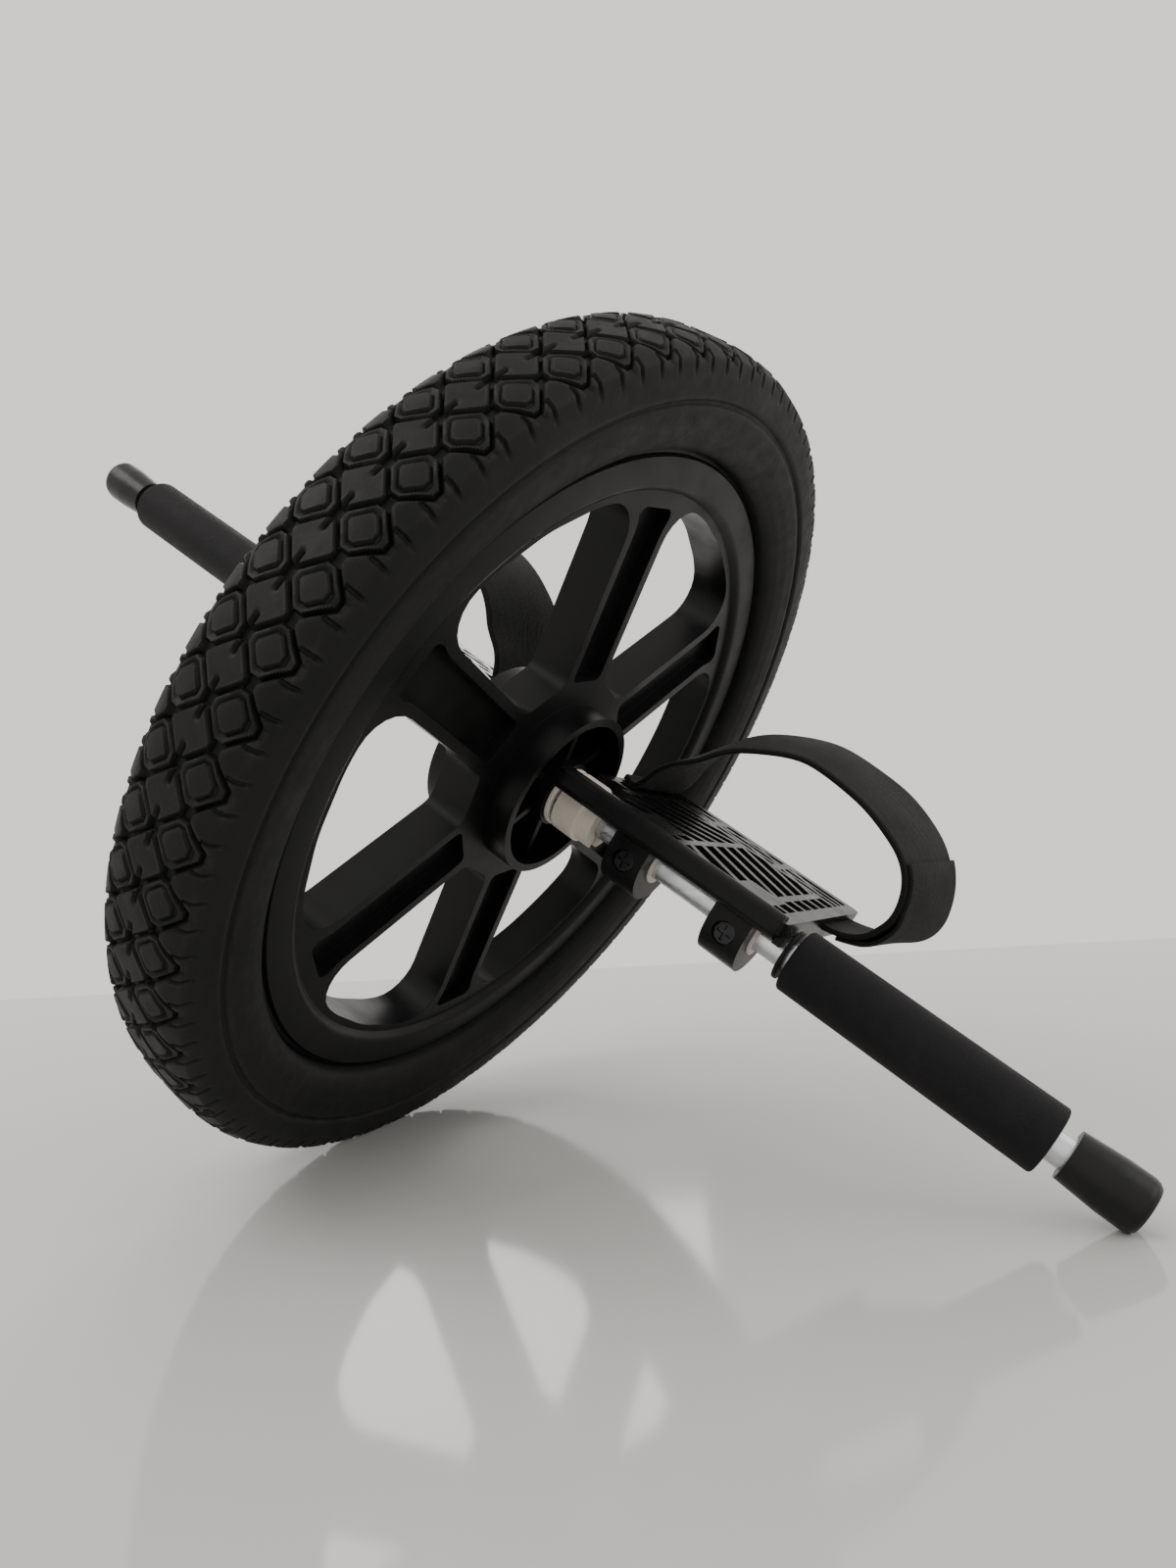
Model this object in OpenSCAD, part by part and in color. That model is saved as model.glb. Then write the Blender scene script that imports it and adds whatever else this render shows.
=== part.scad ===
// Core exercise wheel: one large rubber-tyred wheel on a steel cross tube, a
// foot pedal with a strap on each side and a foam grip at each end.
// Millimetres, +Z up. X forward, Y along the tube, Z up. The wheel rests on
// the edge of its tyre and on the right end cap, so the tube leans. The origin
// is the point of the floor straight below the centre of the wheel.

/* [Wheel] */
// Outer diameter of the tyre
tyre_d = 356; // [330:1:380]
// Width of the tyre across its sidewalls
tyre_w = 41; // [39:0.5:43]
// Radius of the rim seat that carries the tyre
rim_r = 141; // [139:0.5:143]
// Width of the rim across its lips
rim_w = 24; // [22:0.5:26]
// Number of spokes
spokes = 6; // [5:1:6]
// Turn of the spokes about the tube, degrees
spoke_turn = 40; // [0:1:59]
// Width of one spoke at its waist
spoke_w = 27; // [22:1:30]
// Outer radius of the hub barrel
hub_r = 36; // [32:0.5:40]
// Length of the hub barrel
hub_len = 43; // [41:0.5:43.5]
// How far the wheel has slid along the tube towards the right collar
wheel_off = 13; // [12.6:0.1:13]

/* [Tube] */
// Outer diameter of the steel tube
tube_d = 12; // [11:0.5:12.5]
// Wall of the steel tube
tube_wall = 1.5; // [1:0.1:2.5]
// Overall length over the two end caps
total_len = 556; // [550:1:570]

/* [Grips] */
// Diameter of a foam grip
foam_d = 24.8; // [20:0.2:28]
// Length of a foam grip
foam_len = 100; // [90:1:101]
// Distance from the wheel centre to the inner end of a foam grip
foam_in = 145.5; // [144.5:0.5:147]
// Diameter of an end cap at its mouth
cap_mouth_d = 18; // [16:0.5:19]
// Diameter of an end cap near its closed end
cap_d = 20; // [18:0.5:21]
// Length of an end cap
cap_len = 26.5; // [24:0.5:28]

/* [Pedals] */
// Distance from the wheel centre to the inner end of a pedal
pedal_in = 35.5; // [35.5:0.5:37]
// Length of a pedal along the tube
pedal_len = 105.5; // [100:0.5:106]
// How far a pedal reaches behind the tube
pedal_back = 24; // [21:0.5:26]
// How far a pedal reaches in front of the tube
pedal_front = 98; // [94:1:108]
// Forward tilt of the pedals, degrees
pedal_dip = 5; // [0:0.5:12]
// Height of the pedal tread above the tube's centre
tread_n = 13; // [12.5:0.1:13.5]
// Width of a foot strap
strap_w = 50; // [30:1:54]
// Thickness of the strap webbing
strap_t = 2.4; // [2:0.1:2.8]

/* [Hidden] */

tr = tube_d / 2;
run_fit = 0.05;
half = total_len / 2;
shoulder_half = tyre_w / 2 - 1.7;
shoulder_y = wheel_off + shoulder_half;
shoulder_r = tyre_d / 2 - 4;
cap_edge_r = cap_d / 2 - 1.5;
lean = atan((shoulder_r - cap_edge_r) / (half - shoulder_y));
hub_h = shoulder_y * sin(lean) + shoulder_r * cos(lean);
rim_in = 125;
spoke_h = 9;
web_h = 3.2;
bush_r = 9;
core_r = 14;
core_h = 20;
steel = [0.78, 0.79, 0.81];
black = [0.07, 0.07, 0.075];
plastic = [0.10, 0.10, 0.105];
nylon = [0.86, 0.82, 0.76];

// Carries a part from the tube's frame (tube along Y) to where the wheel rests
module placed() translate([0, 0, hub_h]) rotate([lean, 0, 0]) children();

// The right side is built along -Y, and the left side is its mirror image
module side(s) mirror([0, s > 0 ? 1 : 0, 0]) children();

// A ring about the tube from radius a to radius b, between distances u0 and u1
module ring(a, b, u0, u1) translate([0, -u0, 0]) rotate([90, 0, 0])
    difference() {
        cylinder(r = b, h = u1 - u0, $fn = 96);
        translate([0, 0, -1]) cylinder(r = a, h = u1 - u0 + 2, $fn = 96);
    }

// Turns a profile of [radius, distance along the tube] points about the tube
module turned(pts) rotate([90, 0, 0]) rotate_extrude($fn = 160) polygon(pts);

// Corners of a closed outline p rounded with radii r, n steps each
function unit(a) = a / norm(a);
function round_corner(a, b, c, r, n) =
    let (u = unit(a - b), v = unit(c - b), h = acos(u * v) / 2,
         d = r / tan(h), ctr = b + unit(u + v) * (r / sin(h)),
         p0 = b + u * d - ctr, p1 = b + v * d - ctr,
         a0 = atan2(p0[1], p0[0]), a1r = atan2(p1[1], p1[0]),
         da = (a1r - a0 > 180) ? a1r - a0 - 360 : (a1r - a0 < -180) ? a1r - a0 + 360 : a1r - a0)
    [for (i = [0:n]) ctr + r * [cos(a0 + da * i / n), sin(a0 + da * i / n)]];
function rounded(p, r, n) = [for (i = [0:len(p) - 1])
    each round_corner(p[(i + len(p) - 1) % len(p)], p[i], p[(i + 1) % len(p)], r[i], n)];

// ---- Tube and what is fixed to it ----
module axle_tube() color(steel) placed() difference() {
    rotate([90, 0, 0]) translate([0, 0, -half + 5]) cylinder(r = tr, h = total_len - 10, $fn = 64);
    rotate([90, 0, 0]) translate([0, 0, -half]) cylinder(r = tr - tube_wall, h = total_len, $fn = 64);
    for (s = [-1, 1]) translate([0, s * 51.5, -10]) cylinder(r = 2, h = 20, $fn = 32);
}

module thrust_washers() color(steel) placed() for (s = [-1, 1]) side(s)
    ring(tr, 11.5, 35.6, 37);

module collar(s) color(nylon) placed() side(s) difference() {
    union() {
        ring(tr, 12.6, 37, 48);
        ring(tr, 11.4, 47, 55);
    }
    translate([-2.3, -56.5, -15]) cube([4.6, 7.05, 30]);
}
module collar_right() collar(-1);
module collar_left() collar(1);

module collar_pins() color(steel) placed() for (s = [-1, 1])
    translate([0, s * 51.5, -11]) cylinder(r = 2, h = 22, $fn = 32);

module stop_washers() color(black) placed() for (s = [-1, 1]) side(s)
    ring(tr, 10, 142, 143.6);

module foam_grip(s) color(black) placed() side(s)
    turned([[tr, foam_in], [foam_d / 2 - 0.8, foam_in], [foam_d / 2, foam_in + 0.8],
        [foam_d / 2, foam_in + foam_len - 0.8], [foam_d / 2 - 0.8, foam_in + foam_len],
        [tr, foam_in + foam_len]]);
module foam_grip_right() foam_grip(-1);
module foam_grip_left() foam_grip(1);

module end_cap(s) color(black) placed() side(s)
    turned([[tr, half - cap_len], [cap_mouth_d / 2, half - cap_len],
        [cap_d / 2, half - 12], [cap_d / 2, half - 3.2], [cap_d / 2 - 0.4, half - 1.4],
        [cap_edge_r, half], [0, half], [0, half - 4.6], [tr, half - 4.6]]);
module end_cap_right() end_cap(-1);
module end_cap_left() end_cap(1);

// ---- Wheel ----
// The wheel lies against the right thrust washer
module wheel_at() placed() translate([0, -wheel_off, 0]) children();

module tyre() color(black) wheel_at() rotate([90, 0, 0]) rotate_extrude($fn = 200)
    polygon([[rim_r, -13], [rim_r + 1.5, -15.2], [152, -19.6], [158, -20.4], [159, -19.5],
        [160.4, -19.5], [161.4, -tyre_w / 2], [168, -tyre_w / 2 + 0.3], [shoulder_r, -shoulder_half],
        [tyre_d / 2 - 1, -13], [tyre_d / 2, -6], [tyre_d / 2, 6], [tyre_d / 2 - 1, 13],
        [shoulder_r, shoulder_half], [168, tyre_w / 2 - 0.3], [161.4, tyre_w / 2], [160.4, 19.5],
        [159, 19.5], [158, 20.4], [152, 19.6], [rim_r + 1.5, 15.2], [rim_r, 13]]);

// One rounded-triangle gap between two spokes, as a flat outline
function gap_pts() =
    let (a = 180 / spokes, w = spoke_w / 2, ro = rim_in - 3,
         // where the two spoke edges meet the outer and inner circles
         q = asin(w / ro), ri = 47, qi = asin(w / ri) )
    concat([[ri * cos(a - qi) , ri * sin(a - qi)], [ri * cos(a - qi), -ri * sin(a - qi)]],
        [for (k = [-2:2]) let (t = k * (a - q) / 2) ro * [cos(t), sin(t)]]);
module gap2d() polygon(rounded(gap_pts(), [7, 7, 14, 60, 60, 60, 14], 6));

// Sunk face of one spoke between its two edge ribs
module pocket2d() polygon(rounded([[46, -9.2], [112, -9.4], [118, -13], [118, 13], [112, 9.4],
    [46, 9.2]], [3, 20, 3, 3, 20, 3], 4));

module wheel_rim() color(plastic) wheel_at() difference() {
    union() {
        // rim ring with its two lips
        rotate([90, 0, 0]) rotate_extrude($fn = 180) polygon([[rim_in + 3, -rim_w / 2],
            [rim_r - 3, -rim_w / 2], [rim_r - 2, -rim_w / 2 + 1.5], [rim_r, -rim_w / 2 + 2],
            [rim_r, rim_w / 2 - 2], [rim_r - 2, rim_w / 2 - 1.5], [rim_r - 3, rim_w / 2],
            [rim_in + 3, rim_w / 2], [rim_in + 1, rim_w / 2 - 1], [rim_in - 2, spoke_h - 2],
            [rim_in - 2, -spoke_h + 2], [rim_in + 1, -rim_w / 2 + 1]]);
        // spoke disc with its gaps
        rotate([90, 0, 0]) translate([0, 0, -spoke_h]) linear_extrude(2 * spoke_h) difference() {
            circle(r = rim_in, $fn = 120);
            for (i = [0:spokes - 1]) rotate(spoke_turn + (i + 0.5) * 360 / spokes) gap2d();
        }
        // hub barrel
        rotate([90, 0, 0]) translate([0, 0, -hub_len / 2]) cylinder(r = hub_r, h = hub_len, $fn = 96);
    }
    // spoke pockets on both faces
    for (m = [0, 1]) for (i = [0:spokes - 1])
        rotate([90, 0, 0]) rotate(spoke_turn + i * 360 / spokes)
            translate([0, 0, m == 0 ? web_h : -spoke_h - 1]) linear_extrude(spoke_h - web_h + 1) pocket2d();
    // open cups at both ends of the hub
    for (m = [0, 1]) mirror([0, m, 0]) translate([0, -4, 0]) rotate([90, 0, 0]) difference() {
        cylinder(r = hub_r - 3.5, h = 40, $fn = 96);
        translate([0, 0, -1]) cylinder(r = core_r, h = core_h - 4 + 1, $fn = 64);
        for (i = [0:spokes - 1]) rotate(spoke_turn + i * 360 / spokes)
            translate([0, -1.5, -1]) cube([hub_r, 3, core_h - 4 - 4]);
    }
    // seat of the two bushes
    rotate([90, 0, 0]) translate([0, 0, -50]) cylinder(r = bush_r, h = 100, $fn = 64);
}

module hub_bush(s) color(nylon) wheel_at() side(s) {
    ring(tr + run_fit, bush_r - run_fit, 1, core_h + 0.3);
    ring(tr + run_fit, core_r - 1.5, core_h + 0.3, core_h + 2.3);
}
module hub_bush_right() hub_bush(-1);
module hub_bush_left() hub_bush(1);

// ---- Pedals ----
// Frame of one pedal: X forward, -Y outward, tread up
module pedal_at(s) placed() side(s) rotate([0, pedal_dip, 0]) children();

u0 = pedal_in;
u1 = pedal_in + pedal_len;
v0 = -pedal_back;
v1 = pedal_front;
ear_u = [[67, 83], [114, 130]];
ear_r = 16.5;
bush_o = 8.5;

// A flat bar between two points of the tread, w wide
module bar(a, b, w) translate(a) rotate(atan2(b[1] - a[1], b[0] - a[0]))
    translate([0, -w / 2]) square([norm(b - a), w]);

// Openwork of the tread, as bars in [forward, outward] coordinates
module tread_bars() {
    // three bars along the front edge
    for (v = [v1 - 13, v1 - 20.5]) bar([v, u0], [v, u1], 3);
    bar([v1 - 28, u0], [v1 - 28, u1], 4);
    for (u = [u0 + 34, u0 + 69]) bar([v1 - 28, u], [v1, u], 4);
    // cross bars that carry the two end rows of slots
    bar([v0, u1 - 14], [v1 - 28, u1 - 14], 3.4);
    bar([v0, u0 + 14], [v1 - 28, u0 + 14], 3.4);
    for (i = [0:6]) let (v = v0 + 22 + i * 12) {
        bar([v, u1 - 14], [v, u1], 3);
        bar([v, u0], [v, u0 + 14], 3);
    }
    // chevrons and the bar that joins their points
    for (i = [-2:7]) let (v = v0 + 8 + i * 13) {
        bar([v, u0 + 14], [v + 30, (u0 + u1) / 2], 3);
        bar([v, u1 - 14], [v + 30, (u0 + u1) / 2], 3);
    }
    bar([v0, (u0 + u1) / 2], [v1 - 28, (u0 + u1) / 2], 3.4);
}

module pedal(s) color(plastic) pedal_at(s) {
    difference() {
        union() {
            // frame and openwork of the tread
            translate([0, 0, tread_n - 5]) mirror([0, 1, 0]) linear_extrude(5) difference() {
                polygon(rounded([[v0, u0], [v1, u0], [v1, u1], [v0, u1]], [5, 4, 4, 5], 5));
                difference() {
                    translate([v0 + 13, u0 + 5]) square([v1 - 6 - v0 - 13, u1 - u0 - 11]);
                    tread_bars();
                }
            }
            // thick rounded rail over the tube
            translate([v0 + 5, -u0 - 2, tread_n - 3]) rotate([90, 0, 0])
                cylinder(r = 5, h = pedal_len - 4, $fn = 48);
            // skirts that stiffen the front and the two ends
            translate([v1 - 3.2, -u1 + 4, 3]) cube([3.2, pedal_len - 8, tread_n - 7]);
            translate([v0 + 10, -u1, 3]) cube([v1 - v0 - 14, 3.2, tread_n - 7]);
            translate([14, -u0 - 3.2, 3]) cube([v1 - 18, 3.2, tread_n - 7]);
            // two ears around the tube
            for (e = ear_u) translate([0, -e[0], 0]) rotate([90, 0, 0]) {
                cylinder(r = ear_r, h = e[1] - e[0], $fn = 96);
                translate([-ear_r, 0, 0]) cube([2 * ear_r, tread_n - 1, e[1] - e[0]]);
            }
            // ribs from the ears forward under the tread
            for (e = ear_u) translate([8, -(e[0] + e[1]) / 2 - 1.5, 1]) cube([v1 - 10, 3, tread_n - 5]);
        }
        // notch that clears the collar at the inner end
        translate([-13.8, -56.5, -20]) cube([27.6, 40, 60]);
        // bores of the ears and the clearance over the tube
        rotate([90, 0, 0]) cylinder(r = bush_o, h = 160, $fn = 64);
        translate([v0 + 10, -160, tread_n]) cube([200, 200, 30]);
        // screw recess in the back of each ear
        for (e = ear_u) translate([-ear_r - 1, -(e[0] + e[1]) / 2, -4]) rotate([0, 90, 0]) {
            cylinder(r = 4.6, h = 5.2, $fn = 48);
            cylinder(r = 1.8, h = 9.5, $fn = 32);
        }
    }
}
module pedal_right() pedal(-1);
module pedal_left() pedal(1);

module ear_bushes(s) color(nylon) pedal_at(s) for (e = ear_u)
    ring(tr + run_fit, bush_o, e[0] - 1, e[1] + 1);
module ear_bushes_right() ear_bushes(-1);
module ear_bushes_left() ear_bushes(1);

module ear_screws(s) color(steel) pedal_at(s) for (e = ear_u)
    translate([-ear_r + 4.2, -(e[0] + e[1]) / 2, -4]) rotate([0, 90, 0]) difference() {
        union() {
            translate([0, 0, -2.2]) cylinder(r = 4, h = 2.2, $fn = 48);
            cylinder(r = 1.8, h = 4, $fn = 32);
        }
        translate([-0.6, -3, -3]) cube([1.2, 6, 1.8]);
        translate([-3, -0.6, -3]) cube([6, 1.2, 1.8]);
    }
module ear_screws_right() ear_screws(-1);
module ear_screws_left() ear_screws(1);

// Middle line of a strap in [outward, up] coordinates, eased through its knots. It ends flush
// with the pedal's outer end.
knots = [[u0 + 1, tread_n + strap_t / 2 + 0.3], [u0 + 8, tread_n + strap_t / 2 + 0.6], [52, 34], [70, 54],
    [98, 65.5], [127, 64], [150, 56], [163, 43], [167, 27], [160, 16], [150, 11], [u1, 9]];
function ease(a, b, c, d, t) = 0.5 * (2 * b + (c - a) * t + (2 * a - 5 * b + 4 * c - d) * t * t
    + (3 * b - a - 3 * c + d) * t * t * t);
function line_pts(k, n) = concat([for (i = [0:len(k) - 2]) for (j = [0:n - 1])
    let (a = k[max(i - 1, 0)], b = k[i], c = k[i + 1], d = k[min(i + 2, len(k) - 1)])
    ease(a, b, c, d, j / n)], [k[len(k) - 1]]);
function normal_at(p, i) = let (a = p[max(i - 1, 0)], b = p[min(i + 1, len(p) - 1)], t = unit(b - a))
    [-t[1], t[0]];
path = line_pts(knots, 4);
np = len(path);
function shifted(d, i0, i1) = [for (i = [i0:i1]) path[i] + normal_at(path, i) * d];
function reversed(p) = [for (i = [len(p) - 1:-1:0]) p[i]];
module band(d0, d1, i0, i1, w) translate([(v1 - 12) - w, 0, 0]) rotate([90, 0, 90]) mirror([1, 0, 0])
    linear_extrude(w) polygon(concat(shifted(d1, i0, i1), reversed(shifted(d0, i0, i1))));

module foot_strap(s) color(black) pedal_at(s) difference() {
    band(-strap_t / 2, strap_t / 2, 0, np - 1, strap_w);
    translate([-50, -u1, -30]) cube([300, u1, 30 + tread_n]);
}
module foot_strap_right() foot_strap(-1);
module foot_strap_left() foot_strap(1);

module strap_tail(s) color(black) pedal_at(s)
    translate([1, 0, 0]) band(strap_t / 2, strap_t / 2 + 1.8, 26, np - 4, strap_w - 2);
module strap_tail_right() strap_tail(-1);
module strap_tail_left() strap_tail(1);

axle_tube();
thrust_washers();
collar_right();
collar_left();
collar_pins();
stop_washers();
foam_grip_right();
foam_grip_left();
end_cap_right();
end_cap_left();
tyre();
wheel_rim();
hub_bush_right();
hub_bush_left();
pedal_right();
pedal_left();
ear_bushes_right();
ear_bushes_left();
ear_screws_right();
ear_screws_left();
foot_strap_right();
foot_strap_left();
strap_tail_right();
strap_tail_left();
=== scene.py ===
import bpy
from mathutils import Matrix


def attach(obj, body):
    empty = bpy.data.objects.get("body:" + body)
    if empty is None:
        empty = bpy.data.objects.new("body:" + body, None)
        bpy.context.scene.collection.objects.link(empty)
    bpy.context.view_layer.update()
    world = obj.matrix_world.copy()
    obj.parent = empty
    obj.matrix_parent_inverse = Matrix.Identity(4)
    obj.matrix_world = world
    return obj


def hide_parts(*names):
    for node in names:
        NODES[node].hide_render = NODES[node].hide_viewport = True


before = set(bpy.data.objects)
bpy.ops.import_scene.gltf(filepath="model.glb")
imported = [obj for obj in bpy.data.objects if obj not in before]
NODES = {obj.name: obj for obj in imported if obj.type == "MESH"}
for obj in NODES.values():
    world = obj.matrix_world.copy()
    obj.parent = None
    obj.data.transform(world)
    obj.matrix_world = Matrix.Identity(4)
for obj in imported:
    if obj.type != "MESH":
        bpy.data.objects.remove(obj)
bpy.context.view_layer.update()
import math
import bpy
import bmesh
import numpy as np
from mathutils import Matrix, Vector

# ---------------------------------------------------------------- dimensions (mm) in the tube's frame
TYRE_D, TYRE_W, TOTAL, CAP_D, OFF = 356.0, 41.0, 556.0, 20.0, 13.0
HALF = TOTAL / 2
SH_Y, SH_R = TYRE_W / 2 - 1.7, TYRE_D / 2 - 4
CAP_EDGE = CAP_D / 2 - 1.5
LEAN = math.atan((SH_R - CAP_EDGE) / (HALF - SH_Y - OFF))
HUB_H = (SH_Y + OFF) * math.sin(LEAN) + SH_R * math.cos(LEAN)
DIP = math.radians(5)
U0, U1 = 35.5, 141.0
V0, V1 = -24.0, 98.0
TREAD_N = 13.0
STRAP_T, STRAP_W = 2.4, 50.0


def place(p):
    """Points of the tube's frame (N,3, mm) to the row frame in metres."""
    p = np.asarray(p, float)
    c, s = math.cos(LEAN), math.sin(LEAN)
    out = np.empty_like(p)
    out[:, 0] = p[:, 0]
    out[:, 1] = p[:, 1] * c - p[:, 2] * s
    out[:, 2] = p[:, 1] * s + p[:, 2] * c + HUB_H
    return out / 1000


def pedal(p, side):
    """[forward, outward, up] of a pedal (mm) to the row frame in metres. side -1 is right, +1 is left."""
    p = np.asarray(p, float)
    c, s = math.cos(DIP), math.sin(DIP)
    q = np.empty_like(p)
    q[:, 0] = p[:, 0] * c + p[:, 2] * s
    q[:, 1] = p[:, 1] * side
    q[:, 2] = -p[:, 0] * s + p[:, 2] * c
    return place(q)


def make_mesh(name, verts, faces, uvs=None, smooth_angle=40):
    me = bpy.data.meshes.new(name)
    verts = np.asarray(verts, np.float32)
    faces = np.asarray(faces, np.int32)
    me.vertices.add(len(verts))
    me.vertices.foreach_set("co", verts.ravel())
    n = faces.shape[1]
    me.loops.add(faces.size)
    me.loops.foreach_set("vertex_index", faces.ravel())
    me.polygons.add(len(faces))
    me.polygons.foreach_set("loop_start", np.arange(0, faces.size, n, dtype=np.int32))
    me.polygons.foreach_set("loop_total", np.full(len(faces), n, np.int32))
    if uvs is not None:
        layer = me.uv_layers.new(name="UVMap")
        layer.data.foreach_set("uv", np.asarray(uvs, np.float32).ravel())
    me.update(calc_edges=True)
    me.validate()
    me.polygons.foreach_set("use_smooth", np.ones(len(me.polygons), bool))
    if smooth_angle:
        me.set_sharp_from_angle(angle=math.radians(smooth_angle))
    ob = bpy.data.objects.new(name, me)
    bpy.context.scene.collection.objects.link(ob)
    return ob


# ---------------------------------------------------------------- materials
def new_mat(name):
    m = bpy.data.materials.new(name)
    m.use_nodes = True
    nt = m.node_tree
    nt.nodes.clear()
    out = nt.nodes.new("ShaderNodeOutputMaterial")
    b = nt.nodes.new("ShaderNodeBsdfPrincipled")
    nt.links.new(b.outputs[0], out.inputs[0])
    return m, nt, b


def node(nt, kind, **kw):
    n = nt.nodes.new(kind)
    for k, v in kw.items():
        setattr(n, k, v)
    return n


def coords(nt, scale=(1, 1, 1), rot=(0, 0, 0), out="Object"):
    tc = node(nt, "ShaderNodeTexCoord")
    mp = node(nt, "ShaderNodeMapping")
    mp.inputs["Scale"].default_value = scale
    mp.inputs["Rotation"].default_value = rot
    nt.links.new(tc.outputs[out], mp.inputs[0])
    return mp.outputs[0]


def noise(nt, vec, scale, detail=4, rough=0.55):
    n = node(nt, "ShaderNodeTexNoise")
    n.inputs["Scale"].default_value = scale
    n.inputs["Detail"].default_value = detail
    n.inputs["Roughness"].default_value = rough
    nt.links.new(vec, n.inputs["Vector"])
    return n.outputs["Fac"]


def ramp(nt, fac, a, b, ca, cb):
    r = node(nt, "ShaderNodeValToRGB")
    r.color_ramp.elements[0].position = a
    r.color_ramp.elements[1].position = b
    r.color_ramp.elements[0].color = (*ca, 1)
    r.color_ramp.elements[1].color = (*cb, 1)
    nt.links.new(fac, r.inputs[0])
    return r.outputs[0]


def rng(nt, fac, a, b, lo, hi):
    r = node(nt, "ShaderNodeMapRange")
    for i, v in enumerate((a, b, lo, hi)):
        r.inputs[i + 1].default_value = v
    nt.links.new(fac, r.inputs[0])
    return r.outputs[0]


def math_node(nt, op, a, b=None):
    m = node(nt, "ShaderNodeMath", operation=op)
    for i, v in enumerate((a, b)):
        if v is None:
            continue
        if isinstance(v, (int, float)):
            m.inputs[i].default_value = v
        else:
            nt.links.new(v, m.inputs[i])
    return m.outputs[0]


def bump(nt, height, dist, strength=1.0, normal=None):
    b = node(nt, "ShaderNodeBump")
    b.inputs["Distance"].default_value = dist
    b.inputs["Strength"].default_value = strength
    nt.links.new(height, b.inputs["Height"])
    if normal is not None:
        nt.links.new(normal, b.inputs["Normal"])
    return b.outputs[0]


def mat_rubber():
    m, nt, b = new_mat("tyre_rubber")
    v = coords(nt)
    big = noise(nt, v, 16, 5)
    fine = noise(nt, v, 900, 3)
    mid = noise(nt, v, 140, 5, 0.65)
    base = ramp(nt, big, 0.35, 0.72, (0.0058, 0.0058, 0.0061), (0.0110, 0.0108, 0.0108))
    geo = node(nt, "ShaderNodeNewGeometry")
    # pale dust caught in the sharp corners of the tread
    edge = rng(nt, geo.outputs["Pointiness"], 0.43, 0.5, 1.0, 0.0)
    dust = math_node(nt, "MULTIPLY", edge, rng(nt, mid, 0.42, 0.68, 0.0, 0.55))
    mix = node(nt, "ShaderNodeMix", data_type="RGBA")
    nt.links.new(dust, mix.inputs[0])
    nt.links.new(base, mix.inputs[6])
    mix.inputs[7].default_value = (0.040, 0.039, 0.037, 1)
    nt.links.new(mix.outputs[2], b.inputs["Base Color"])
    nt.links.new(rng(nt, mid, 0.3, 0.7, 0.50, 0.66), b.inputs["Roughness"])
    b.inputs["Specular IOR Level"].default_value = 0.16
    n1 = bump(nt, fine, 0.00012, 0.55)
    n2 = bump(nt, mid, 0.0002, 0.35, n1)
    nt.links.new(n2, b.inputs["Normal"])
    return m


def mat_plastic(name, tint=(0.012, 0.012, 0.0125), rough=(0.30, 0.44)):
    m, nt, b = new_mat(name)
    v = coords(nt)
    grain = noise(nt, v, 1400, 2)
    mott = noise(nt, v, 60, 5, 0.6)
    scuff = noise(nt, coords(nt, (40, 700, 300), (0.4, 0.2, 0.9)), 1.0, 6, 0.7)
    base = ramp(nt, mott, 0.3, 0.75, tint, tuple(c * 1.6 for c in tint))
    sc = rng(nt, scuff, 0.66, 0.74, 0.0, 0.35)
    mix = node(nt, "ShaderNodeMix", data_type="RGBA")
    nt.links.new(sc, mix.inputs[0])
    nt.links.new(base, mix.inputs[6])
    mix.inputs[7].default_value = (0.022, 0.022, 0.0225, 1)
    nt.links.new(mix.outputs[2], b.inputs["Base Color"])
    r = rng(nt, mott, 0.3, 0.7, *rough)
    nt.links.new(math_node(nt, "ADD", r, math_node(nt, "MULTIPLY", sc, 0.5)), b.inputs["Roughness"])
    b.inputs["Specular IOR Level"].default_value = 0.15
    n1 = bump(nt, grain, 0.00006, 0.5)
    n2 = bump(nt, mott, 0.00025, 0.25, n1)
    nt.links.new(n2, b.inputs["Normal"])
    return m


def mat_steel(name="zinc_plated_steel", lo=(0.60, 0.625, 0.66), hi=(0.76, 0.775, 0.80)):
    m, nt, b = new_mat(name)
    v = coords(nt, (1, 1, 1), (-LEAN, 0, 0))
    streak = noise(nt, coords(nt, (260, 14, 260), (-LEAN, 0, 0)), 1.0, 6, 0.6)
    cloud = noise(nt, v, 45, 4)
    base = ramp(nt, cloud, 0.35, 0.7, lo, hi)
    nt.links.new(base, b.inputs["Base Color"])
    b.inputs["Metallic"].default_value = 1.0
    nt.links.new(rng(nt, streak, 0.3, 0.7, 0.20, 0.42), b.inputs["Roughness"])
    nt.links.new(bump(nt, streak, 0.00005, 0.5), b.inputs["Normal"])
    return m


def mat_nylon():
    m, nt, b = new_mat("off_white_nylon")
    v = coords(nt)
    cloud = noise(nt, v, 90, 5)
    base = ramp(nt, cloud, 0.3, 0.72, (0.66, 0.60, 0.52), (0.80, 0.75, 0.68))
    nt.links.new(base, b.inputs["Base Color"])
    nt.links.new(rng(nt, cloud, 0.3, 0.7, 0.36, 0.52), b.inputs["Roughness"])
    b.inputs["Subsurface Weight"].default_value = 0.15
    b.inputs["Subsurface Radius"].default_value = (0.003, 0.002, 0.0015)
    nt.links.new(bump(nt, noise(nt, v, 800, 3), 0.00006, 0.5), b.inputs["Normal"])
    return m


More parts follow.
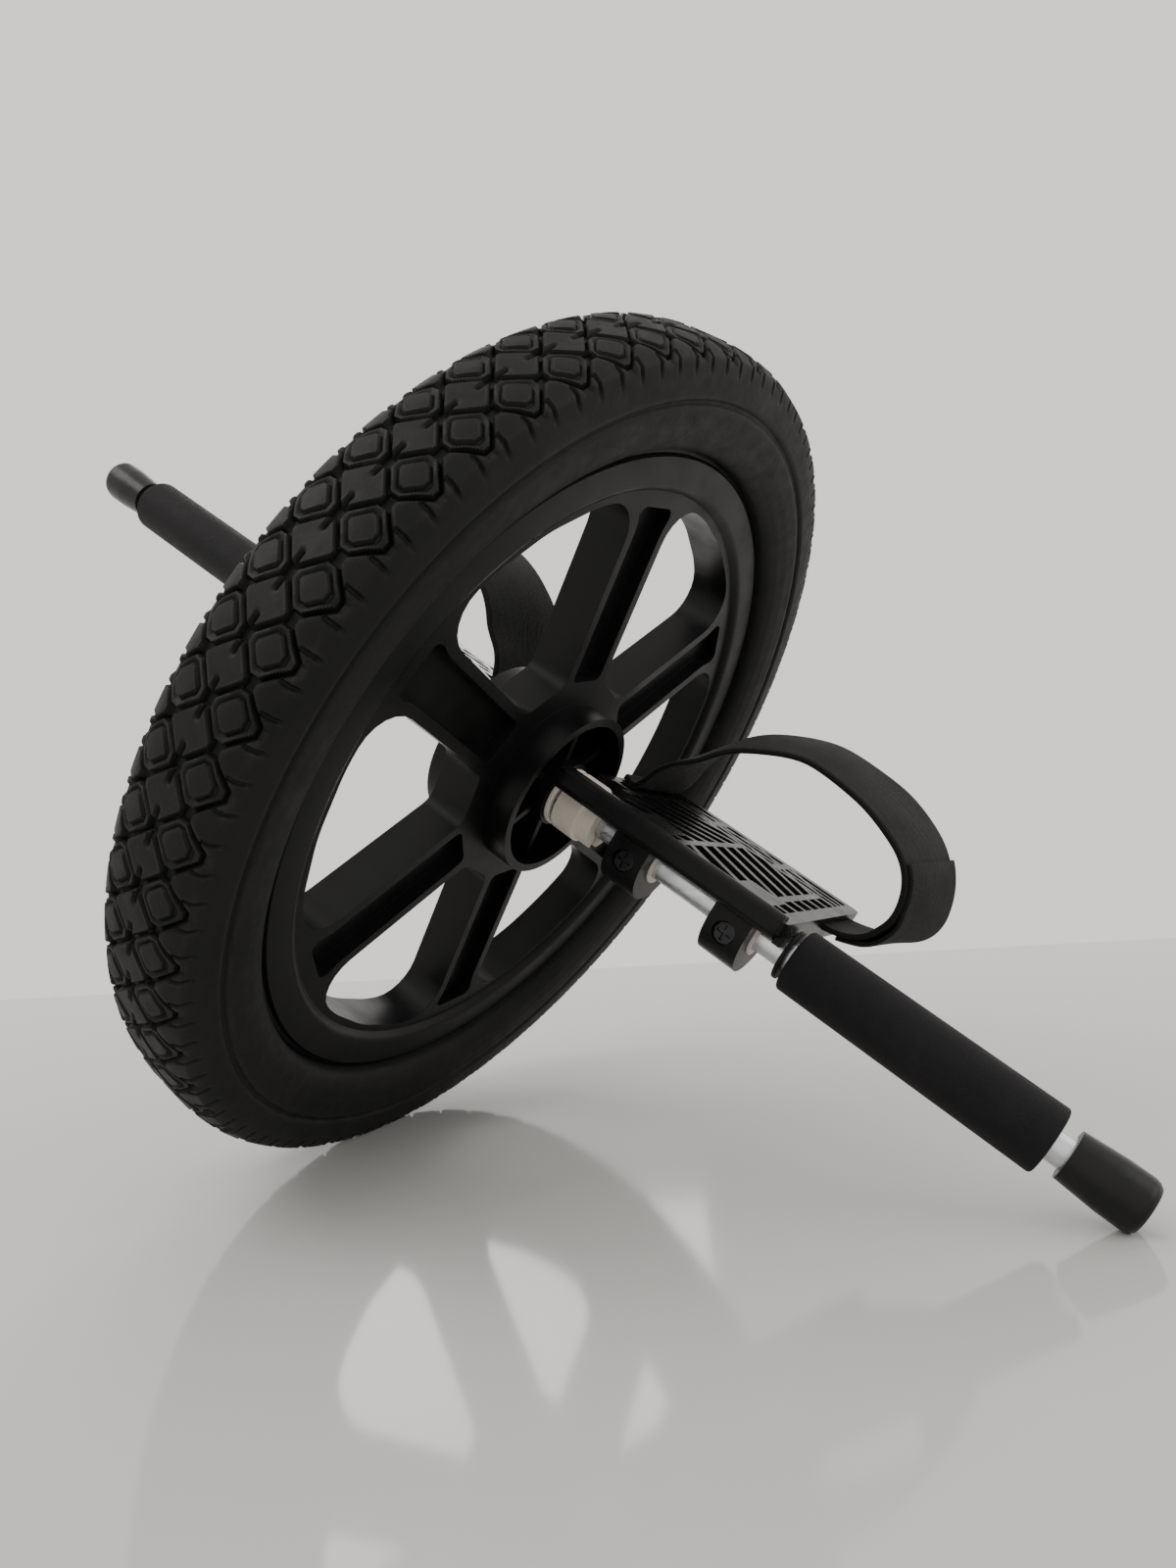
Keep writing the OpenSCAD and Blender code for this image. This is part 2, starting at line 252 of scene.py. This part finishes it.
def mat_foam():
    m, nt, b = new_mat("black_foam")
    v = coords(nt)
    cells = node(nt, "ShaderNodeTexVoronoi")
    cells.inputs["Scale"].default_value = 1500
    nt.links.new(v, cells.inputs["Vector"])
    lump = noise(nt, v, 120, 5, 0.65)
    base = ramp(nt, lump, 0.3, 0.75, (0.0060, 0.0055, 0.0064), (0.0130, 0.0120, 0.0132))
    nt.links.new(base, b.inputs["Base Color"])
    nt.links.new(rng(nt, lump, 0.3, 0.7, 0.60, 0.78), b.inputs["Roughness"])
    b.inputs["Sheen Weight"].default_value = 0.03
    b.inputs["Specular IOR Level"].default_value = 0.14
    b.inputs["Sheen Roughness"].default_value = 0.5
    n1 = bump(nt, cells.outputs["Distance"], 0.00022, 0.7)
    nt.links.new(bump(nt, lump, 0.0005, 0.35, n1), b.inputs["Normal"])
    return m


def mat_vinyl():
    m, nt, b = new_mat("dipped_vinyl")
    v = coords(nt)
    flow = noise(nt, coords(nt, (60, 12, 60), (-LEAN, 0, 0)), 1.0, 4)
    grain = noise(nt, v, 500, 3)
    base = ramp(nt, flow, 0.3, 0.7, (0.0045, 0.0045, 0.0048), (0.0080, 0.0080, 0.0085))
    nt.links.new(base, b.inputs["Base Color"])
    nt.links.new(rng(nt, grain, 0.3, 0.7, 0.26, 0.40), b.inputs["Roughness"])
    b.inputs["Specular IOR Level"].default_value = 0.24
    n1 = bump(nt, flow, 0.0004, 0.5)
    nt.links.new(bump(nt, grain, 0.00006, 0.5, n1), b.inputs["Normal"])
    return m


def mat_webbing():
    """UV is in millimetres: u along the strap, v across it."""
    m, nt, b = new_mat("woven_webbing")
    uv = coords(nt, (1, 1, 1), (0, 0, 0), "UV")
    sep = node(nt, "ShaderNodeSeparateXYZ")
    nt.links.new(uv, sep.inputs[0])
    # 1.3 mm ribs across, split by the warp every 0.9 mm, in a broken twill
    row = math_node(nt, "MULTIPLY", sep.outputs[1], 1 / 0.9)
    shift = math_node(nt, "MULTIPLY", math_node(nt, "MODULO", math_node(nt, "FLOOR", row), 2.0), 0.65)
    a = math_node(nt, "SINE", math_node(nt, "MULTIPLY", math_node(nt, "ADD", sep.outputs[0], shift), 2 * math.pi / 1.3))
    c = math_node(nt, "ABSOLUTE", math_node(nt, "SINE", math_node(nt, "MULTIPLY", row, math.pi)))
    h = math_node(nt, "ADD", math_node(nt, "MULTIPLY", a, 0.35), c)
    v = coords(nt)
    fuzz = noise(nt, v, 600, 4, 0.7)
    lump = noise(nt, v, 35, 4)
    base = ramp(nt, math_node(nt, "ADD", math_node(nt, "MULTIPLY", h, 0.35), math_node(nt, "MULTIPLY", fuzz, 0.6)),
                0.25, 0.85, (0.0035, 0.0035, 0.0038), (0.0120, 0.0118, 0.0122))
    nt.links.new(base, b.inputs["Base Color"])
    nt.links.new(rng(nt, lump, 0.3, 0.7, 0.62, 0.80), b.inputs["Roughness"])
    b.inputs["Sheen Weight"].default_value = 0.05
    b.inputs["Specular IOR Level"].default_value = 0.12
    b.inputs["Sheen Roughness"].default_value = 0.45
    n1 = bump(nt, h, 0.00035, 0.8)
    nt.links.new(bump(nt, fuzz, 0.00012, 0.4, n1), b.inputs["Normal"])
    return m


RUBBER, FOAM, VINYL, WEB = mat_rubber(), mat_foam(), mat_vinyl(), mat_webbing()
STEEL, NYLON = mat_steel(), mat_nylon()
DARK_STEEL = mat_steel("blackened_steel", (0.020, 0.020, 0.022), (0.045, 0.045, 0.048))
RIM = mat_plastic("rim_plastic", (0.0040, 0.0040, 0.0042), (0.30, 0.46))
PEDAL = mat_plastic("pedal_plastic", (0.0048, 0.0048, 0.0050), (0.24, 0.36))
WASHER = mat_plastic("washer_plastic", (0.0055, 0.0055, 0.0057), (0.35, 0.5))

# ---------------------------------------------------------------- CAD nodes that stay visible
LOOK = {
    "axle_tube": (STEEL, 0.0003), "thrust_washers": (STEEL, 0.0002), "collar_pins": (STEEL, 0.0003),
    "ear_screws_right": (DARK_STEEL, 0.0002), "ear_screws_left": (DARK_STEEL, 0.0002),
    "collar_right": (NYLON, 0.0006), "collar_left": (NYLON, 0.0006),
    "hub_bush_right": (NYLON, 0.0003), "hub_bush_left": (NYLON, 0.0003),
    "ear_bushes_right": (NYLON, 0.0003), "ear_bushes_left": (NYLON, 0.0003),
    "stop_washers": (WASHER, 0.0003),
    "foam_grip_right": (FOAM, 0.0004), "foam_grip_left": (FOAM, 0.0004),
    "end_cap_right": (VINYL, 0.0010), "end_cap_left": (VINYL, 0.0010),
    "wheel_rim": (RIM, 0.0008), "pedal_right": (PEDAL, 0.0006), "pedal_left": (PEDAL, 0.0006),
}
for name, (mat, width) in LOOK.items():
    o = NODES[name]
    o.data.materials.clear()
    o.data.materials.append(mat)
    w = o.modifiers.new("weld", "WELD")
    w.merge_threshold = 0.00001
    bv = o.modifiers.new("soft_edges", "BEVEL")
    bv.width = width
    bv.segments = 2
    bv.limit_method = "ANGLE"
    bv.angle_limit = math.radians(38)
    bv.use_clamp_overlap = True
    bv.harden_normals = False
    wn = o.modifiers.new("normals", "WEIGHTED_NORMAL")
    wn.keep_sharp = False

# ---------------------------------------------------------------- tyre with carved tread
REPS = 56
PER = 30


def smooth(x, a, b):
    t = np.clip((x - a) / (b - a), 0, 1)
    return t * t * (3 - 2 * t)


def tyre():
    # outline in (radius, y) from the right bead over the crown to the left bead
    prof = [(141.0, -13.0), (141.8, -14.6), (143.6, -16.4), (147.0, -18.2), (152.0, -19.6), (157.4, -20.3),
            (158.3, -20.1), (158.9, -19.3), (160.2, -19.3), (160.8, -20.0), (161.6, -20.5), (168.0, -20.2),
            (171.5, -19.6), (SH_R - 0.2, -SH_Y)]
    s_side = []
    for (a, b) in zip(prof[:-1], prof[1:]):
        d = math.hypot(b[0] - a[0], b[1] - a[1])
        k = max(1, int(round(d / 1.1)))
        for i in range(k):
            s_side.append((a[0] + (b[0] - a[0]) * i / k, a[1] + (b[1] - a[1]) * i / k))
    ys = np.linspace(-SH_Y, SH_Y, 61)

    def crown(y):
        a = np.abs(y)
        return np.where(a < 6, TYRE_D / 2 - 0.02 * a / 6, np.where(
            a < 13, TYRE_D / 2 - 1.0 * ((a - 6) / 7) ** 1.5, TYRE_D / 2 - 1 - 3.0 * ((a - 13) / (SH_Y - 13)) ** 1.25))
    side = np.array(s_side)
    r = np.concatenate([side[:, 0], crown(ys), side[::-1, 0]])
    y = np.concatenate([side[:, 1], ys, -side[::-1, 1]])
    ns = len(side)
    nt_ = REPS * PER
    th = np.arange(nt_) / nt_ * 2 * math.pi
    R, T = np.meshgrid(r, th)
    Y = np.meshgrid(y, th)[0]
    pitch = 2 * math.pi / REPS
    P = TYRE_D / 2 * pitch
    a0 = ((T + pitch / 2) % pitch - pitch / 2) / pitch * P          # from a crossing point
    a1 = (T % pitch - pitch / 2) / pitch * P                        # from midway between two
    D = np.zeros_like(R)
    hw = 9.6
    ay = np.abs(Y)

    def dia(a, b, cut=1.22):
        x, z = np.abs(a) / (P / 2), np.abs(b) / hw
        return np.maximum(x + z, cut * np.maximum(x, z))
    # framed blocks either side of the middle
    d1 = dia(a0, ay - hw)
    inner = 1 - smooth(d1, 0.58, 0.64)
    frame_ = smooth(d1, 0.70, 0.75) * (1 - smooth(d1, 0.92, 0.98))
    h1 = np.maximum(inner, 0.86 * frame_)
    h1 = np.where(d1 < 0.74, np.maximum(h1, 0.52), h1)
    # plain blocks along the middle, and half blocks at the shoulders
    d2 = dia(a1, Y, 1.12)
    h2 = 1 - smooth(d2, 0.88, 0.95)
    d3 = dia(a1, ay - 2 * hw, 1.12)
    h3 = 1 - smooth(d3, 0.88, 0.95)
    height = np.maximum(np.maximum(h1 * (d1 < 1.05), h2 * (d2 < 1)), h3 * (d3 < 1))
    # slit along the middle through each crossing, and a small star where the lines meet
    slit = (1 - smooth(ay, 0.3, 0.9)) * (1 - smooth(np.abs(a0), 5.5, 7.0))
    height = height * (1 - 0.85 * slit)
    star = (1 - smooth(np.hypot(a0, Y), 0.9, 2.0))
    height = height * (1 - star)
    tread = (R > SH_R - 3.0) & (ay <= SH_Y + 0.01)
    D = np.where(tread, -(1 - height) * 2.3, 0.0)
    # sipes cut in the shoulder, two to a pitch
    q = np.abs(((T / pitch * 2) % 1) - 0.5) * P / 2
    notch = (1 - smooth(q, 0.4, 0.8)) * smooth(R, 169.5, 171.0) * (ay > SH_Y - 3)
    D = D - 1.0 * notch
    # the shoulder itself stays whole where it stands on the floor
    D = np.where(tread & (ay > SH_Y - 0.7), np.maximum(D, -1.5), D)
    # direction of the carving: along the outline's normal
    dr, dy = np.gradient(r), np.gradient(y)
    ln = np.hypot(dr, dy)
    nr, ny = np.where(ln > 0, dy / ln, 0), np.where(ln > 0, -dr / ln, 0)
    Rn = R + D * np.broadcast_to(nr, R.shape)
    Yn = Y + D * np.broadcast_to(ny, R.shape)
    X = Rn * np.cos(T)
    Z = Rn * np.sin(T)
    n_th, n_s = R.shape
    pts = np.stack([X, Yn - OFF, Z], -1).reshape(-1, 3)
    i, j = np.meshgrid(np.arange(n_th), np.arange(n_s), indexing="ij")
    i2, j2 = (i + 1) % n_th, (j + 1) % n_s
    q4 = np.stack([i * n_s + j, i * n_s + j2, i2 * n_s + j2, i2 * n_s + j], -1).reshape(-1, 4)
    return make_mesh("tyre_carved", place(pts), q4[:, ::-1], None, 42)


tyre_ob = tyre()
tyre_ob.data.materials.append(RUBBER)
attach(tyre_ob, "wheel")
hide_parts("tyre")

# ---------------------------------------------------------------- straps
KNOTS = [(U0 + 1, TREAD_N + STRAP_T / 2 + 0.3), (U0 + 8, TREAD_N + STRAP_T / 2 + 0.6), (52, 34), (70, 54),
         (98, 65.5), (127, 64), (150, 56), (163, 43), (167, 27), (160, 16), (150, 11), (U1, 9)]


def ease(a, b, c, d, t):
    return 0.5 * (2 * b + (c - a) * t + (2 * a - 5 * b + 4 * c - d) * t * t + (3 * b - a - 3 * c + d) * t ** 3)


def path(n=14):
    k = [np.array(p, float) for p in KNOTS]
    out = []
    for i in range(len(k) - 1):
        a, b, c, d = k[max(i - 1, 0)], k[i], k[i + 1], k[min(i + 2, len(k) - 1)]
        out += [ease(a, b, c, d, j / n) for j in range(n)]
    out.append(k[-1])
    return np.array(out)


def strap(name, side, d0, d1, f0, f1, w0, w1, seed):
    """A band between offsets d0 and d1 of the path's middle line, from fraction f0 to f1 of it."""
    p = path()
    m = len(p)
    i0, i1 = int(round(f0 * (m - 1))), int(round(f1 * (m - 1)))
    t = np.gradient(p, axis=0)
    t /= np.linalg.norm(t, axis=1)[:, None]
    nrm = np.stack([-t[:, 1], t[:, 0]], 1)
    length = np.concatenate([[0], np.cumsum(np.linalg.norm(np.diff(p, axis=0), axis=1))])
    sl = slice(i0, i1 + 1)
    p, nrm, length = p[sl], nrm[sl], length[sl]
    # rounded section: across (w) and through (d)
    sec = []
    e = 0.9
    k = 26
    ws = np.linspace(w0 + e, w1 - e, k)
    mid, hh = (d0 + d1) / 2, (d1 - d0) / 2
    for w in ws:
        sec.append((w, d1))
    for a in (60, 30, 0, -30, -60):
        sec.append((w1 - e + e * math.cos(math.radians(a)), mid + hh * math.sin(math.radians(a))))
    for w in ws[::-1]:
        sec.append((w, d0))
    for a in (240, 210, 180, 150, 120):
        sec.append((w0 + e + e * math.cos(math.radians(a)), mid + hh * math.sin(math.radians(a))))
    sec = np.array(sec)
    n_s, n_p = len(sec), len(p)
    rs = np.random.RandomState(seed)
    flare = (-5.0, 6.0)
    ph = rs.rand(3) * 6.28
    W = np.broadcast_to(sec[:, 0], (n_p, n_s))
    Dd = np.broadcast_to(sec[:, 1], (n_p, n_s)).copy()
    L = np.broadcast_to(length[:, None], (n_p, n_s))
    free = smooth(L, 14, 40) * (1 - smooth(L, length[-1] - 34, length[-1] - 8))
    cup = ((W - (w0 + w1) / 2) / ((w1 - w0) / 2)) ** 2
    Dd += free * (flare[0] + (flare[1] - flare[0]) * (W - (V1 - 62)) / 50)
    Dd += free * (-0.9 * cup + 0.25 * np.sin(L / 11 + ph[0] + W / 16) + 0.15 * np.sin(L / 5.3 + ph[1]))
    # ribs of the weave as real relief
    Dd += 0.07 * np.sin(W * 2 * math.pi / 3.2) * np.sign(sec[:, 1] - mid)[None, :] * (np.abs(sec[:, 1] - mid) > hh * 0.95)
    U = p[:, 0][:, None] + nrm[:, 0][:, None] * Dd
    N = p[:, 1][:, None] + nrm[:, 1][:, None] * Dd
    pts = np.stack([W, U, N], -1).reshape(-1, 3)
    i, j = np.meshgrid(np.arange(n_p - 1), np.arange(n_s), indexing="ij")
    j2 = (j + 1) % n_s
    q4 = np.stack([i * n_s + j, i * n_s + j2, (i + 1) * n_s + j2, (i + 1) * n_s + j], -1).reshape(-1, 4)
    per = np.concatenate([[0], np.cumsum(np.linalg.norm(np.diff(sec, axis=0), axis=1))])
    per = np.append(per, per[-1] + np.linalg.norm(sec[-1] - sec[0]))
    li, lj = i.reshape(-1), j.reshape(-1)
    uv = np.stack([
        np.stack([length[li], per[lj]], -1), np.stack([length[li], per[lj + 1]], -1),
        np.stack([length[li + 1], per[lj + 1]], -1), np.stack([length[li + 1], per[lj]], -1)], 1)
    if side < 0:
        pass
    else:
        q4, uv = q4[:, ::-1], uv[:, ::-1]
    ob = make_mesh(name, pedal(pts, side), q4, uv.reshape(-1, 2), 60)
    bm = bmesh.new()
    bm.from_mesh(ob.data)
    edges = [e_ for e_ in bm.edges if e_.is_boundary]
    bmesh.ops.holes_fill(bm, edges=edges, sides=0)
    bmesh.ops.recalc_face_normals(bm, faces=bm.faces)
    bm.to_mesh(ob.data)
    bm.free()
    ob.data.materials.append(WEB)
    return ob


W1 = V1 - 12
W0 = W1 - STRAP_W
for side, tag, seed in ((-1, "right", 3), (1, "left", 8)):
    s = strap("strap_web_" + tag, side, -STRAP_T / 2, STRAP_T / 2, 0, 1, W0, W1, seed)
    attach(s, "pedal_%s_body" % tag)
    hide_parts("foot_strap_" + tag)
    t = strap("strap_lap_" + tag, side, STRAP_T / 2 + 0.02, STRAP_T / 2 + 1.8, 26 / 44, 41 / 44, W0 + 1, W1 - 1, seed)
    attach(t, "pedal_%s_body" % tag)
    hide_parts("strap_tail_" + tag)

# ---------------------------------------------------------------- floor, light, camera
C = Vector((-0.375332, -0.241527, 0.140522))
ROT = Matrix(((0.475895, 0.002833, -0.879498), (-0.878725, -0.040503, -0.475607), (-0.03697, 0.999175, -0.016786)))
fwd = Vector((0.879498, 0.475607, 0)).normalized()
rgt = Vector((fwd.y, -fwd.x, 0))
base = Vector((C.x, C.y, 0))
p_l = base + fwd * 0.857 - rgt * 0.471
p_r = base + fwd * 0.959 + rgt * 0.527
along = (p_r - p_l).normalized()
back = Vector((-along.y, along.x, 0))
if back.dot(fwd) > 0:
    back = -back
a, b = p_l - along * 4, p_r + along * 4
floor = make_mesh("floor", [a, b, b + back * 6, a + back * 6], [(0, 1, 2, 3)], None, 0)
fm, fnt, fb = new_mat("floor_gloss")
fb.inputs["Base Color"].default_value = (0.55, 0.55, 0.535, 1)
fb.inputs["Specular IOR Level"].default_value = 0.35
fn = noise(fnt, coords(fnt), 3, 3)
fnt.links.new(rng(fnt, fn, 0.3, 0.7, 0.07, 0.10), fb.inputs["Roughness"])
floor.data.materials.append(fm)

world = bpy.data.worlds.new("studio")
bpy.context.scene.world = world
world.use_nodes = True
bg = world.node_tree.nodes["Background"]
bg.inputs[0].default_value = (0.825, 0.80, 0.76, 1)
bg.inputs[1].default_value = 1.42


def area(name, loc, target, size, power, color=(1, 1, 1)):
    d = bpy.data.lights.new(name, "AREA")
    d.shape = "RECTANGLE"
    d.size, d.size_y = size
    d.energy = power
    d.color = color
    o = bpy.data.objects.new(name, d)
    bpy.context.scene.collection.objects.link(o)
    o.location = loc
    o.rotation_euler = (Vector(target) - Vector(loc)).to_track_quat("-Z", "Y").to_euler()
    o.visible_camera = False
    return o


mid = (0, 0, 0.16)
area("key", (-0.9, 0.7, 1.5), mid, (1.0, 0.8), 12, (1.0, 0.99, 0.97))
area("fill", (0.2, -1.5, 0.9), mid, (1.2, 1.0), 5, (0.95, 0.97, 1.0))
area("rim", (1.3, 0.9, 1.1), mid, (0.9, 0.9), 8)

cam_d = bpy.data.cameras.new("camera")
cam_d.sensor_fit = "AUTO"
cam_d.sensor_width = 36
cam_d.lens = 24.583
cam_d.clip_start = 0.01
cam_d.clip_end = 50
cam = bpy.data.objects.new("camera", cam_d)
bpy.context.scene.collection.objects.link(cam)
cam.matrix_world = Matrix.Translation(C) @ ROT.to_4x4()
bpy.context.scene.camera = cam
